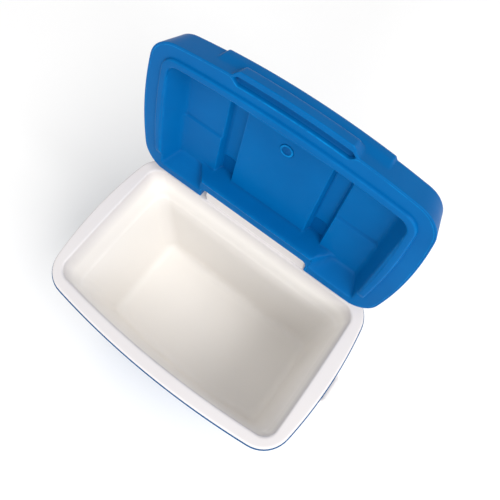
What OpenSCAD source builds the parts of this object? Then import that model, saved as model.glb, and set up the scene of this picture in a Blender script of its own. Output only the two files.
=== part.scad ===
// Hinged cooler chest: insulated tub, foam-filled lid and two swing handles.
// Origin on the floor under the middle of the tub, +X along the long side, -Y the front, +Z up.
// The lid is drawn closed and then turned to its open stop.

/* [Tub] */
// Length over the white rim
rim_l = 480; // [470:1:490]
// Depth over the white rim, front to back
rim_w = 300; // [295:1:305]
// Height from the floor to the top of the rim
tub_h = 350; // [340:1:360]
// Thickness of the rim where it covers the blue shell
rim_t = 7; // [6:0.5:8]
// How far the blue shell stands out past the rim
shell_proud = 2; // [1:0.5:3]
// How much each side of the tub leans in by the floor
tub_lean = 24; // [20:1:28]
// Wall thickness of the moulded skins
skin = 3; // [2.5:0.5:3.5]

/* [Liner] */
// Half length of the mouth
mouth_l = 213.5; // [210:0.5:215]
// Distance from the middle of the tub to the front edge of the mouth
mouth_front = 129; // [126:0.5:131]
// Distance from the middle of the tub to the back edge of the mouth
mouth_back = 125; // [122:0.5:126]
// Thickness of the insulated floor
floor_t = 25; // [22:1:30]
// Depth of the step in the liner walls below the rim
step_depth = 95; // [85:1:110]
// Width of the step in the liner walls
step_w = 3; // [2:0.5:4]
// How much the liner walls lean in from the mouth to the floor
liner_lean = 25; // [22:1:27]

/* [Lid] */
// Half length of the lid
lid_l = 235; // [232:0.5:236]
// Distance from the middle of the tub to the front edge of the lid
lid_front = 138.5; // [136:0.5:140]
// Distance from the middle of the tub to the back edge of the lid
lid_back = 149.5; // [148:0.5:150]
// Height of the lid
lid_h = 50; // [48:1:54]
// Gap between the closed lid and the rim
lid_gap = 0.5; // [0.4:0.1:0.8]
// How far the lid walls lean in by the top
lid_lean = 9; // [7:0.5:11]
// Angle at which the open lid rests on its stop
open_angle = 103.4; // [100:0.1:106]
// Half width of the notch that the hinge stands in
notch_half = 105; // [104:0.5:107]
// Distance from the middle of the tub to the front wall of the notch
notch_y = 126; // [125.5:0.5:127]
// Depth of the panels inside the lid
panel_d = 29; // [26:0.5:30]
// Depth of the two channels between the panels
channel_d = 41; // [38:0.5:41]
// Depth of the trays in the top of the lid
tray_d = 5; // [3:0.5:5]

/* [Hinge] */
// Distance from the middle of the tub to the hinge line
hinge_y = 143.5; // [143:0.5:144]
// Height of the hinge line above the rim
hinge_up = 24.4; // [24:0.1:25]
// Radius of the hinge barrel
barrel_r = 12; // [11:0.5:13]
// Radius of the hinge pins
pin_r = 3; // [2.5:0.5:3]
// Radial clearance of every running fit
run_gap = 0.06; // [0.04:0.01:0.1]

/* [Handles] */
// Distance of the handles behind the middle of the tub
handle_y = 10; // [8:0.5:11]
// Height of the handle pivots
pivot_z = 322; // [321:0.5:323]
// Distance from the middle of the tub to the handle pivots
pivot_x = 235.5; // [235.3:0.1:236]
// Half distance between the two arms of a handle
arm_y = 46; // [45:0.5:47]
// Width of an arm
arm_w = 9; // [8:0.5:9.5]
// Height of the grip
grip_h = 20; // [19:0.5:21]
// Thickness of the grip
grip_t = 10; // [9.5:0.5:10.5]
// How far the grip bows out in the middle
grip_bow = 9; // [6:0.5:10]

/* [Hidden] */
$fn = 48;
eps = 0.01;
shell_top = tub_h - rim_t;
lid_z = tub_h + lid_gap;
lid_top = lid_z + lid_h;
hinge_z = tub_h + hinge_up;
front_bulge = 17.5;
side_bulge = 15.7;
corner_r = 50;
mouth_front_bulge = 13.5;
mouth_side_bulge = 2;
mouth_r = 24;
lid_front_bulge = 19;
lid_side_bulge = 14.9;
lid_r = 49;
base_t = 6;
foot_rise = 3;
foot_w = 24;
centre_foot = [220, 24];
plug_r = 14;
plug_y = 60;
rail_half = 101;
rail_front = 130;
leaf_t = 3.2;
leaf_low = 295;
lug_r = 9;
lug_w = 13;
pin_grip = 15;
pin_reach = 12;
screw_r = 2.4;
screw_head_r = 5;
screw_zs = 318;
screw_xs = [-84, -28, 28, 84];
well_half = 60;
well_floor = 226;
well_low = 270;
well_high = 338;
ear_r = 6.5;
ear_w = 4.5;
ear_gap = 0.5;
pad_t = 3;
pad_low = 305;
pad_high = 334;
handle_pin_r = 2.5;
bracket_screw_r = 1.8;
bracket_head_r = 3.4;
bracket_screw_at = [[arm_y, 310.5], [25, 330]];
bracket_screw_x = 219.5;
grip_mid = 276;
grip_x = 241.3;
bow_flat = 18;
bow_run = 14;
lip_proud = 12;
lip_half = 98;
lip_wall = 10.5;
pocket_half = 88;
pocket_d = 7;
brow_half = 132;
panel_edges = [71.5, 103.5, 175];
ring_out = 209.5;
ring_in = 196.5;
ring_drop = 4.5;
pan_front = 97;
pan_back = 105;
mark_r = 10.5;
mark_y = -39.5;
wall_run = 0.7;
// How far in and how high above the floor each step of the round foot of the liner lies
floor_round = [[-4, 22], [2, 7], [12, 0]];
foam_fit = 0.2;
panel_wall = 2.4;
panel_fit = 0.1;
tray_r = 14;
tray_gap = 4;
tray_ys = [-100, 105];
side_tray_end = 196;
side_tray_ys = [-84, 112];
// How far in and how far below the top each step of the round top edge of the lid lies
top_round = [[-1, 9], [1.5, 3], [7, eps]];
notch_r = 9;
notch_flare = 8;
lip_chamfer = 13;
lip_full = 17;
lip_end = 32;
// Steps of the brow: how far it ends inside its half width, stands out, is chamfered, and its height
brow_steps = [[3, -6, 2, lid_z + 30], [0, -3, 5, lid_top - 12], [2, -6, 5, lid_top - 5],
    [6, -11, 5, lid_top - eps]];
pocket_side = 12;
strip_back = 20 - lid_front;
// Half length, front, back, front bow, side bow and corner radius of the two edges of the bead
bead_outer = [ring_out, 112.5, pan_back + 6, 12, 8, 28];
bead_inner = [ring_in, 99, pan_back + 40, 11, 6, 20];
rail_screw_tip = 138;
rail_head_h = 2.8;
bracket_head_h = 2;
far = 600;
lobe_low = 27;
lobe_high = 3;
lobe_clear = 6;
boss_y = 6;
boss_h = 34;

// Where two circles meet; side is 1 or -1
function meet(c1, r1, c2, r2, side) =
    let (
        d = norm(c2 - c1),
        a = (r1 * r1 - r2 * r2 + d * d) / (2 * d),
        h = sqrt(r1 * r1 - a * a),
        u = (c2 - c1) / d)
    c1 + a * u + side * h * [-u[1], u[0]];
function arc(c, r, a0, a1, n) =
    [for (i = [0:n]) let (a = a0 + (a1 - a0) * i / n) c + r * [cos(a), sin(a)]];
function angle_to(c, p) = atan2(p[1] - c[1], p[0] - c[0]);
function mirrored(p) = [for (i = [len(p) - 1:-1:0]) [-p[i][0], p[i][1]]];

// Outline with a bowed front, bowed sides and a straight back
function outline(half, front, back, front_sag, side_sag, r) =
    let (
        reach = half - side_sag,
        rf = (reach * reach + front_sag * front_sag) / (2 * front_sag),
        cf = [0, rf - front],
        mid = (back - front + front_sag) / 2,
        run = (back + front - front_sag) / 2 + front_sag / 4,
        rs = (run * run + side_sag * side_sag) / (2 * side_sag),
        cs = [half - rs, mid],
        f = meet(cf, rf - r, cs, rs - r, 1),
        b = [cs[0] + sqrt((rs - r) * (rs - r) - (back - r - mid) * (back - r - mid)), back - r],
        right = concat(
            arc(cf, rf, -90, angle_to(cf, f), 10),
            arc(f, r, angle_to(cf, f), angle_to(cs, f), 8),
            arc(cs, rs, angle_to(cs, f), angle_to(cs, b), 8),
            arc(b, r, angle_to(cs, b), 90, 8)))
    concat(right, mirrored(right));

function tub_outline(inset) = outline(rim_l / 2 - inset, rim_w / 2 - inset, rim_w / 2 - inset,
    front_bulge, side_bulge, corner_r - inset);
function mouth_outline(inset) = outline(mouth_l - inset, mouth_front - inset, mouth_back - inset,
    mouth_front_bulge, mouth_side_bulge, mouth_r);
function lid_outline(inset) = outline(lid_l - inset, lid_front - inset, lid_back - inset,
    lid_front_bulge, lid_side_bulge, lid_r - inset);
function round_box(x0, x1, y0, y1, r) = concat(
    arc([x1 - r, y0 + r], r, -90, 0, 6), arc([x1 - r, y1 - r], r, 0, 90, 6),
    arc([x0 + r, y1 - r], r, 90, 180, 6), arc([x0 + r, y0 + r], r, 180, 270, 6));

module slab(points, z, t = eps) {
    translate([0, 0, z]) linear_extrude(t) polygon(points);
}
// Draws a profile given in Y and Z, running from x0 to x1
module along_x(points, x0, x1) {
    translate([x0, 0, 0]) rotate([90, 0, 90]) linear_extrude(x1 - x0) polygon(points);
}
// Draws a profile given in X and Z, running from y0 to y1
module along_y(points, y0, y1) {
    translate([0, y1, 0]) rotate([90, 0, 0]) linear_extrude(y1 - y0) polygon(points);
}
// Everything between two heights
module layer(z0, z1) {
    translate([-far, -far, z0]) cube([2 * far, 2 * far, z1 - z0]);
}
module rod_x(x0, x1, y, z, r) {
    translate([x0, y, z]) rotate([0, 90, 0]) cylinder(r = r, h = x1 - x0);
}
module rod_y(y0, y1, x, z, r) {
    translate([x, y0, z]) rotate([-90, 0, 0]) cylinder(r = r, h = y1 - y0);
}
module on_left() {
    mirror([1, 0, 0]) children();
}
module opened() {
    translate([0, hinge_y, hinge_z]) rotate([-open_angle, 0, 0])
        translate([0, -hinge_y, -hinge_z]) children();
}

// The tub's outer form, moved in by inset, from height z0 up to the rim
module tub_form(inset, z0) {
    lean = tub_lean * (1 - z0 / shell_top);
    hull() {
        slab(tub_outline(inset + lean), z0);
        slab(tub_outline(inset), shell_top - eps);
    }
}
// The space inside the liner, made bigger all round by grow
module cavity(grow) {
    lean_up = liner_lean * step_depth / (tub_h - floor_t) / 2;
    step_z = tub_h - step_depth;
    hull() {
        slab(mouth_outline(-grow), tub_h + 1);
        slab(mouth_outline(lean_up - grow), step_z - grow);
    }
    hull() {
        slab(mouth_outline(lean_up + step_w - grow), step_z - grow);
        for (s = floor_round) slab(mouth_outline(liner_lean + s[0] - grow), floor_t + s[1] - grow);
    }
}
// The hollow that a handle hangs in, made bigger all round by grow
module well(grow) {
    translate([well_floor - grow, handle_y - well_half - grow, well_low - grow])
        cube([40, 2 * (well_half + grow), well_high - well_low + 2 * grow]);
}
module both_wells(grow) {
    well(grow);
    on_left() well(grow);
}
module rail_screw_holes(r, y0, y1) {
    for (x = screw_xs) rod_y(y0, y1, x, screw_zs, r);
}
module bracket_screw_holes(r, x0, x1) {
    for (side = [-1, 1]) for (at = bracket_screw_at) rod_x(x0, x1, handle_y + side * at[0], at[1], r);
}

module outer_shell() {
    color("#0a62b4") difference() {
        tub_form(-shell_proud, 0);
        difference() {
            tub_form(skin - shell_proud, base_t);
            both_wells(skin);
        }
        both_wells(0);
        difference() {
            slab(tub_outline(tub_lean + foot_w), -eps, foot_rise + eps);
            translate([-centre_foot[0] / 2, -centre_foot[1] / 2, -1])
                cube([centre_foot[0], centre_foot[1], foot_rise + 2]);
        }
        translate([0, plug_y, -1]) cylinder(r = plug_r, h = base_t + 2);
        rail_screw_holes(screw_r, 135, 160);
        bracket_screw_holes(bracket_screw_r, 220, 235);
        on_left() bracket_screw_holes(bracket_screw_r, 220, 235);
    }
}
module base_fill_plug() {
    color("#0a62b4") translate([0, plug_y, foot_rise - 1]) cylinder(r = plug_r, h = base_t - foot_rise + 1);
}
module foam_core() {
    color("#e9e2c0") difference() {
        tub_form(skin - shell_proud + foam_fit, base_t + foam_fit);
        cavity(skin + foam_fit);
        both_wells(skin + foam_fit);
        rail_screw_holes(screw_r + foam_fit, 125, 160);
        bracket_screw_holes(bracket_screw_r + foam_fit, bracket_screw_x - 1, 235);
        on_left() bracket_screw_holes(bracket_screw_r + foam_fit, bracket_screw_x - 1, 235);
    }
}
module inner_liner() {
    color("#f1efe9") difference() {
        union() {
            slab(tub_outline(0), shell_top, rim_t - 2);
            slab(tub_outline(1.5), tub_h - 2 - eps, 2 + eps);
            intersection() {
                cavity(skin);
                layer(0, tub_h);
            }
        }
        cavity(0);
    }
}

module hinge_rail() {
    lean_y = rim_w / 2 + shell_proud - tub_lean * (1 - leaf_low / shell_top);
    back = rim_w / 2 + shell_proud + 0.2;
    color("#f1efe9") difference() {
        union() {
            rod_x(-rail_half, rail_half, hinge_y, hinge_z, barrel_r);
            along_x([[rail_front, tub_h], [rim_w / 2 + 0.3, tub_h], [rim_w / 2 + 0.3, shell_top],
                [back, shell_top], [lean_y + 0.2, leaf_low], [lean_y + leaf_t, leaf_low],
                [back + leaf_t, shell_top], [hinge_y + barrel_r - eps, hinge_z],
                [hinge_y - 10.5, hinge_z + 5], [rail_front, tub_h + 18]], -rail_half, rail_half);
            for (x = [-75, -5, 65]) stop_rib(x);
        }
        for (side = [-1, 1])
            rod_x(side * rail_half - pin_grip, side * rail_half + pin_grip, hinge_y, hinge_z, pin_r);
        rail_screw_holes(screw_r + 0.2, 140, 170);
        rail_screw_holes(screw_head_r + 0.3, back + 0.6, 170);
    }
}
// A rib on the barrel that the open lid leans on
module stop_rib(x) {
    reach = hinge_y - notch_y - 0.3;
    translate([x, hinge_y, hinge_z]) rotate([90 - open_angle, 0, 0])
        translate([0, 0, barrel_r - 4]) cube([10, 7, reach - barrel_r + 4]);
}
module hinge_rail_screws() {
    head_y = rim_w / 2 + shell_proud + 0.8;
    color("#9aa0a6") for (x = screw_xs) difference() {
        union() {
            rod_y(rail_screw_tip, head_y + eps, x, screw_zs, screw_r);
            rod_y(head_y, head_y + rail_head_h, x, screw_zs, screw_head_r);
        }
        translate([x, head_y + 1.2, screw_zs]) rotate([-90, 0, 0]) cylinder(r = 1.8, h = 3, $fn = 6);
    }
}
module hinge_pin(side) {
    x0 = rail_half - pin_grip;
    color("#b8bcc0") mirror([side < 0 ? 1 : 0, 0, 0])
        rod_x(x0, x0 + pin_grip + pin_reach + 2, hinge_y, hinge_z, pin_r);
}
module hinge_pin_left() {
    hinge_pin(-1);
}
module hinge_pin_right() {
    hinge_pin(1);
}

// The notch in the back of the lid, made bigger all round by grow
module notch(grow) {
    half = notch_half + grow;
    wide = half + notch_flare;
    back = lid_back + 1 - grow;
    y = notch_y - grow + notch_r;
    slab(concat([[-wide, back + 20], [-wide, back]],
        arc([notch_r - half, y], notch_r, 180, 270, 6), arc([half - notch_r, y], notch_r, 270, 360, 6),
        [[wide, back], [wide, back + 20]]), lid_z - 1, lid_h + 2);
}
module trays(grow) {
    inner = panel_edges[0] - tray_gap + grow;
    outer = panel_edges[1] + tray_gap - grow;
    z = lid_top - tray_d - grow;
    depth = tray_d + grow + 1;
    slab(round_box(-inner, inner, tray_ys[0] - grow, tray_ys[1] + grow, tray_r + grow), z, depth);
    for (s = [0, 1]) mirror([s, 0, 0])
        slab(round_box(outer, side_tray_end + grow, side_tray_ys[0] - grow, side_tray_ys[1] + grow,
            tray_r + grow), z, depth);
}
// The lid's outer form, moved in by inset
module lid_form(inset) {
    hull() {
        slab(lid_outline(inset), lid_z);
        for (s = top_round) slab(lid_outline(inset + lid_lean + s[0]), lid_top - s[1]);
    }
}
// The part of the front bow between -half and half, moved forward by out and closed behind
function front_strip(half, out, chamfer) =
    let (
        reach = lid_l - lid_side_bulge,
        r = (reach * reach + lid_front_bulge * lid_front_bulge) / (2 * lid_front_bulge),
        c = [0, r - lid_front - out])
    concat(arc(c, r, -90 - asin((half - chamfer) / r), -90 + asin((half - chamfer) / r), 12),
        [[half, chamfer - lid_front - out + half * half / (2 * r)], [half, strip_back],
         [-half, strip_back], [-half, chamfer - lid_front - out + half * half / (2 * r)]]);
module lip_form() {
    hull() {
        slab(front_strip(lip_half, lip_proud, lip_chamfer), lid_z, lip_full + eps);
        slab(front_strip(lip_half - 3, -5, 2), lid_z + lip_end);
    }
}
module brow_form() {
    hull() {
        for (s = brow_steps) slab(front_strip(brow_half - s[0], s[1], s[2]), s[3]);
    }
}
module lip_pocket() {
    gap = 13.5;
    out = lip_proud - lip_wall;
    difference() {
        slab(front_strip(pocket_half + 8, out, 9), lid_z - 1, pocket_d + 1);
        translate([0, gap, 0]) slab(front_strip(pocket_half + 30, out, 9), lid_z - 2, pocket_d + 4);
    }
}
module lid_lugs() {
    for (s = [0, 1]) mirror([s, 0, 0]) rod_x(notch_half, notch_half + lug_w, hinge_y, hinge_z, lug_r);
}
module lid_outer_shell() {
    color("#0a66bd") opened() difference() {
        union() {
            difference() {
                union() {
                    lid_form(0);
                    brow_form();
                    lip_form();
                }
                notch(0);
                trays(0);
                difference() {
                    translate([0, 0, -eps]) lid_form(skin);
                    notch(skin);
                    layer(lid_top - skin, lid_top + skin);
                    trays(skin);
                    hinge_boss();
                    lip_box();
                }
            }
            lid_lugs();
        }
        lip_pocket();
        rod_x(-200, 200, hinge_y, hinge_z, pin_r + run_gap);
        along_x([[hinge_y + 2, lid_z - 1], [lid_back + 4, lid_z - 1], [lid_back + 4, lid_z + 7]],
            -lid_l - 5, lid_l + 5);
    }
}
// Solid plastic around the finger pocket
module lip_box() {
    slab(front_strip(pocket_half + pocket_side, 0, 2), lid_z - 1, pocket_d + skin + 1);
}
// Solid plastic behind each hinge lug
module hinge_boss() {
    for (s = [0, 1]) mirror([s, 0, 0])
        translate([notch_half, hinge_y - boss_y, lid_z - 1]) cube([lug_w, 20, boss_h]);
}

// Profile in X and Z of the hollow under the lid, made bigger by grow
function pan_profile(grow) =
    let (
        z = lid_z + panel_d + grow,
        top = lid_z + channel_d + grow,
        half = [[ring_in - 1 + grow, lid_z - ring_drop - 2], [panel_edges[2] + grow, z],
            [panel_edges[1] + grow, z], [panel_edges[1] - 3 + grow, top],
            [panel_edges[0] + 3 - grow, top], [panel_edges[0] - grow, z]])
    concat(half, mirrored(half));
module pan(grow) {
    along_y(pan_profile(grow), -pan_front - grow, pan_back + grow);
    for (s = [0, 1]) mirror([s, 0, 0]) {
        intersection() {
            along_x([[90, lid_z - 1], [pan_back + lobe_low + grow, lid_z - 1],
                [pan_back + lobe_high + grow, lid_z + panel_d + grow], [90, lid_z + panel_d + grow]],
                notch_half + lobe_clear - grow, ring_out);
            along_y(pan_profile(grow), 80, 150);
        }
        translate([panel_edges[1] - grow, 20 - pan_front - 15, lid_z])
            cube([panel_edges[2] - panel_edges[1] + 2 * grow - 2, 112, panel_d + 2 + grow]);
        translate([panel_edges[0] + 3.5 - grow, 64 - grow, lid_z + channel_d - 1])
            cube([25 + 2 * grow, 38 + 2 * grow, 4 + grow * 0.8]);
    }
}
function bead_edge(v) = outline(v[0], v[1], v[2], v[3], v[4], v[5]);
module lid_inner_panel() {
    color("#0a6cc6") opened() difference() {
        union() {
            difference() {
                slab(lid_outline(skin + wall_run), lid_z + eps, skin);
                notch(skin + panel_fit);
                lip_box_clear();
                hinge_boss();
                along_x([[hinge_y, lid_z - 1], [lid_back + 4, lid_z - 1], [lid_back + 4, lid_z + 9]],
                    -lid_l - 5, lid_l + 5);
            }
            difference() {
                slab(bead_edge(bead_outer), lid_z - ring_drop, ring_drop + skin);
                slab(bead_edge(bead_inner), lid_z - ring_drop - 1, ring_drop + 1 + eps);
            }
            intersection() {
                pan(panel_wall);
                layer(lid_z, lid_top);
            }
        }
        pan(0);
        translate([0, mark_y, lid_z]) cylinder(r = mark_r, h = panel_d + 10);
    }
}
// The room that the panel leaves for the plastic around the finger pocket
module lip_box_clear() {
    side = pocket_half + pocket_side + panel_fit;
    translate([0, -panel_fit, 0]) slab(front_strip(side, 0, 2), lid_z - 1, pocket_d);
    slab(round_box(-side, side, -150, strip_back + panel_fit, 1), lid_z - 1, pocket_d);
}
module lid_foam() {
    pocket_room = pocket_half + pocket_side + 2 * foam_fit;
    color("#e9e2c0") opened() difference() {
        lid_form(skin + foam_fit);
        notch(skin + foam_fit);
        layer(lid_top - skin - foam_fit, lid_top + skin);
        trays(skin + foam_fit);
        layer(lid_z - 1, lid_z + skin + foam_fit);
        pan(panel_wall + foam_fit);
        for (s = [0, 1]) mirror([s, 0, 0])
            translate([notch_half - 1, hinge_y - boss_y - 4, lid_z - 1]) cube([lug_w + 2, 30, boss_h + 2]);
        slab(round_box(-pocket_room, pocket_room, -160, strip_back + 2 * foam_fit, 1), lid_z - 1,
            pocket_d + skin + 1.3);
        translate([0, mark_y, lid_z]) cylinder(r = mark_r + foam_fit, h = panel_d + 5);
    }
}
module lid_fill_plug() {
    color("#0a66bd") opened() translate([0, mark_y, lid_z + panel_d - 0.8]) difference() {
        cylinder(r = mark_r - 0.02, h = 3.2);
        translate([0, 0, -eps]) cylinder(r = mark_r - 3, h = 0.6);
    }
}

// The line that the grip follows, as its distance from the middle of the tub
function bow(y) = (1 + cos(180 * max(0, min(1, (abs(y) - bow_flat) / bow_run)))) / 2;
function grip_line(y) = grip_x + grip_bow * bow(y);
function grip_depth(y) = arm_w + (grip_t - arm_w) * bow(y);
module handle() {
    ends = arm_y + arm_w / 2;
    ys = [for (i = [-24:24]) ends * i / 24];
    low = grip_mid - grip_h / 2;
    high = grip_mid + grip_h / 2;
    color("#f4f2ee") translate([0, handle_y, 0]) difference() {
        union() {
            translate([0, 0, low]) linear_extrude(grip_h) polygon(concat(
                [for (y = ys) [grip_line(y) + grip_depth(y) / 2, y]],
                [for (i = [len(ys) - 1:-1:0]) [grip_line(ys[i]) - grip_depth(ys[i]) / 2, ys[i]]]));
            for (y = [-arm_y, arm_y]) {
                rod_y(y - arm_w / 2, y + arm_w / 2, pivot_x, pivot_z, 6);
                along_y([[pivot_x - 4.5, pivot_z], [grip_x - arm_w / 2, high], [grip_x - arm_w / 2, low],
                    [grip_x + arm_w / 2, low], [grip_x + arm_w / 2, high], [pivot_x + 4.5, pivot_z]],
                    y - arm_w / 2, y + arm_w / 2);
            }
        }
        rod_y(-100, 100, pivot_x, pivot_z, handle_pin_r + run_gap);
    }
}
module handle_right() {
    handle();
}
module handle_left() {
    on_left() handle();
}
module handle_bracket() {
    inner = arm_y - arm_w / 2 - ear_gap - ear_w;
    outer = arm_y + arm_w / 2 + ear_gap + ear_w;
    color("#f4f2ee") difference() {
        translate([0, handle_y, 0]) union() {
            for (s = [0, 1]) mirror([0, s, 0]) {
                translate([well_floor, inner - 2, pad_low])
                    cube([pad_t, outer - inner + 3, pad_high - pad_low]);
                for (y = [inner, outer - ear_w]) {
                    translate([well_floor + pad_t - 1, y, pivot_z - ear_r])
                        cube([pivot_x - well_floor - pad_t + 1, ear_w, 2 * ear_r]);
                    rod_y(y, y + ear_w, pivot_x, pivot_z, ear_r);
                }
            }
            translate([well_floor, -inner - 1, pad_high - 8]) cube([pad_t, 2 * inner + 2, 8]);
        }
        rod_y(-100, 100, pivot_x, pivot_z, handle_pin_r);
        bracket_screw_holes(bracket_screw_r + 0.2, 220, 240);
    }
}
module handle_bracket_right() {
    handle_bracket();
}
module handle_bracket_left() {
    on_left() handle_bracket();
}
module handle_pins() {
    reach = arm_w / 2 + ear_gap + ear_w - 0.5;
    color("#b8bcc0") for (side = [-1, 1])
        rod_y(handle_y + side * arm_y - reach, handle_y + side * arm_y + reach,
            pivot_x, pivot_z, handle_pin_r);
}
module handle_pins_right() {
    handle_pins();
}
module handle_pins_left() {
    on_left() handle_pins();
}
module bracket_screws() {
    seat = well_floor + pad_t;
    color("#9aa0a6") for (side = [-1, 1]) for (at = bracket_screw_at)
        translate([0, handle_y + side * at[0], at[1]])
            difference() {
                union() {
                    rod_x(bracket_screw_x, seat + eps, 0, 0, bracket_screw_r);
                    rod_x(seat, seat + bracket_head_h, 0, 0, bracket_head_r);
                }
                translate([seat + 1, 0, 0]) rotate([0, 90, 0]) cylinder(r = 1.3, h = 3, $fn = 6);
            }
}
module bracket_screws_right() {
    bracket_screws();
}
module bracket_screws_left() {
    on_left() bracket_screws();
}

outer_shell();
base_fill_plug();
foam_core();
inner_liner();
hinge_rail();
hinge_rail_screws();
hinge_pin_left();
hinge_pin_right();
lid_outer_shell();
lid_inner_panel();
lid_foam();
lid_fill_plug();
handle_left();
handle_right();
handle_bracket_left();
handle_bracket_right();
handle_pins_left();
handle_pins_right();
bracket_screws_left();
bracket_screws_right();
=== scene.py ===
import math

import bmesh
import bpy
import numpy as np
from mathutils import Matrix, Vector
from mathutils.geometry import delaunay_2d_cdt


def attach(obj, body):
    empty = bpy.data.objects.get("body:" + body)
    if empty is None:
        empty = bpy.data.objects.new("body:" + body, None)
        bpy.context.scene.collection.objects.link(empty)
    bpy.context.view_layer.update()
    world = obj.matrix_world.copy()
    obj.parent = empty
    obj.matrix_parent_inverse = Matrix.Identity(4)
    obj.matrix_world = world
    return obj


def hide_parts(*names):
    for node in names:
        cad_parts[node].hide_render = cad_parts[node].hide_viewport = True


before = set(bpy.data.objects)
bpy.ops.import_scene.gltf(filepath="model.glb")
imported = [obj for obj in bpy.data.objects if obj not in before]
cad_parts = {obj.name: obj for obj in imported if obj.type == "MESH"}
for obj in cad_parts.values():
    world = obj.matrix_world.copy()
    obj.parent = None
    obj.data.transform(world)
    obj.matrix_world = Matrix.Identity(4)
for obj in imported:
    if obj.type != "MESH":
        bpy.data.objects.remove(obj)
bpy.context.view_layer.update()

# Shapes below are worked out in millimetres, with the lid closed.
# They are turned into metres, and the lid is opened, when a piece is made.
MM = 0.001
OPEN_DEG = 103.4
HINGE_Y, HINGE_Z = 143.5, 374.4
LID_Z, LID_H = 350.5, 50.0
LID_TOP = LID_Z + LID_H
RIM_Z, SHELL_Z = 350.0, 343.0
# Rings split here into the front wall with its lip, and the rest
FRONT_Y = -60


# ---------------------------------------------------------------- curves and rings
def smooth(t):
    t = np.clip(t, 0.0, 1.0)
    return t * t * (3 - 2 * t)


def soft_min(a, b, k):
    h = np.clip(0.5 + 0.5 * (b - a) / k, 0, 1)
    return b + (a - b) * h - k * h * (1 - h)


def soft_max(a, b, k):
    return -soft_min(-a, -b, k)


def arc(c, r, a0, a1, n):
    """Points on a circle round c, from one angle to another, both in radians."""
    t = np.linspace(a0, a1, n + 1)
    return np.c_[c[0] + r * np.cos(t), c[1] + r * np.sin(t)]


def circle(c, r, n):
    return arc(c, r, 0, 2 * math.pi, n)[:-1]


def angles(first, last, n):
    """Evenly spread angles, given in degrees and returned in radians."""
    return np.radians(np.linspace(first, last, n))


def meet(c1, r1, c2, r2):
    """The point where two circles cross, on the left of the way from c1 to c2."""
    c1, c2 = np.array(c1, float), np.array(c2, float)
    d = np.linalg.norm(c2 - c1)
    a = (r1 * r1 - r2 * r2 + d * d) / (2 * d)
    u = (c2 - c1) / d
    return c1 + a * u + math.sqrt(r1 * r1 - a * a) * np.array([-u[1], u[0]])


def angle_to(c, p):
    return math.atan2(p[1] - c[1], p[0] - c[0])


def joined(parts):
    """Runs of points put end to end, each next run without the point that it shares."""
    out = [parts[0]]
    for p in parts[1:]:
        out.append(p[1:])
    return np.vstack(out)


def mirrored(right):
    """The right half of a loop, closed with its mirror image."""
    left = right[::-1].copy()
    left[:, 0] *= -1
    return np.vstack([right, left[1:-1]])


# Where the points of an outline lie along its front, sides and back
FRONT_XS = np.r_[0:140:6, 142:176:6]
SIDE_YS = np.r_[-76:84.1:8]
BACK_XS = np.r_[0:140.1:10]
TUB_XS = np.r_[0:139:6]
CORNER_STEPS = 10


def outline(half, front, back, front_bow, side_bow, r, front_xs=FRONT_XS, side_ys=SIDE_YS, notch=None):
    """Closed outline with a bowed front, bowed sides and a straight back.

    It runs from the middle of the front over the right side to the back, and on round the left.
    Every inset of it has the same number of points.
    notch is a cut in the back: half its width, the y of its front wall, and its outer and inner radius.
    """
    reach = half - side_bow
    rf = (reach * reach + front_bow * front_bow) / (2 * front_bow)
    cf = np.array([0.0, rf - front])
    mid = (back - front + front_bow) / 2
    run = (back + front - front_bow) / 2 + front_bow / 4
    rs = (run * run + side_bow * side_bow) / (2 * side_bow)
    cs = np.array([half - rs, mid])
    # f and b are the centres of the two rounded corners; t0, t1 and t2 are where these meet front and side
    f = meet(cf, rf - r, cs, rs - r)
    b = np.array([cs[0] + math.sqrt((rs - r) ** 2 - (back - r - mid) ** 2), back - r])
    af, ag, ah = angle_to(cf, f), angle_to(cs, f), angle_to(cs, b)
    t0 = f + r * np.array([math.cos(af), math.sin(af)])
    t1 = f + r * np.array([math.cos(ag), math.sin(ag)])
    t2 = b + r * np.array([math.cos(ah), math.sin(ah)])
    xs = np.r_[front_xs, np.linspace(front_xs[-1], t0[0], 5)[1:]]
    front_arc = np.c_[xs, cf[1] - np.sqrt(rf * rf - xs * xs)]
    ys = np.r_[np.linspace(t1[1], side_ys[0], 5)[:-1], side_ys, np.linspace(side_ys[-1], t2[1], 4)[1:]]
    side_arc = np.c_[cs[0] + np.sqrt(rs * rs - (ys - cs[1]) ** 2), ys]
    front_corner = arc(f, r, af, ag, CORNER_STEPS)
    back_corner = arc(b, r, ah, math.pi / 2, CORNER_STEPS)
    parts = [front_arc, front_corner, side_arc, back_corner]
    if notch is None:
        xs = np.r_[np.linspace(b[0], BACK_XS[-1], 4), BACK_XS[::-1][1:]]
        parts.append(np.c_[xs, np.full(len(xs), back)])
    else:
        hx, hy, outer, inner = notch
        xs = np.linspace(b[0], hx + outer, 8)
        parts.append(np.c_[xs, np.full(len(xs), back)])
        parts.append(arc((hx + outer, back - outer), outer, math.pi / 2, math.pi, 5))
        ys = np.linspace(back - outer, hy + inner, 4)
        parts.append(np.c_[np.full(len(ys), hx), ys])
        parts.append(arc((hx - inner, hy + inner), inner, 0, -math.pi / 2, 7))
        xs = np.linspace(hx - inner, 0, 10)
        parts.append(np.c_[xs, np.full(len(xs), hy)])
    return mirrored(joined(parts))


def at(points, z):
    """Lifts a flat outline to one height, or to a height for each point."""
    z = np.full(len(points), z) if np.isscalar(z) else z
    return np.c_[points, z]


# ---------------------------------------------------------------- meshes
def turn_open(v):
    """Turns points of the closed lid about the hinge line to where they are when it is open."""
    a = math.radians(-OPEN_DEG)
    y, z = v[:, 1] - HINGE_Y, v[:, 2] - HINGE_Z
    y_open = y * math.cos(a) - z * math.sin(a) + HINGE_Y
    z_open = y * math.sin(a) + z * math.cos(a) + HINGE_Z
    return np.c_[v[:, 0], y_open, z_open]


# Points closer together than this become one
MERGE = 0.02


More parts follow.
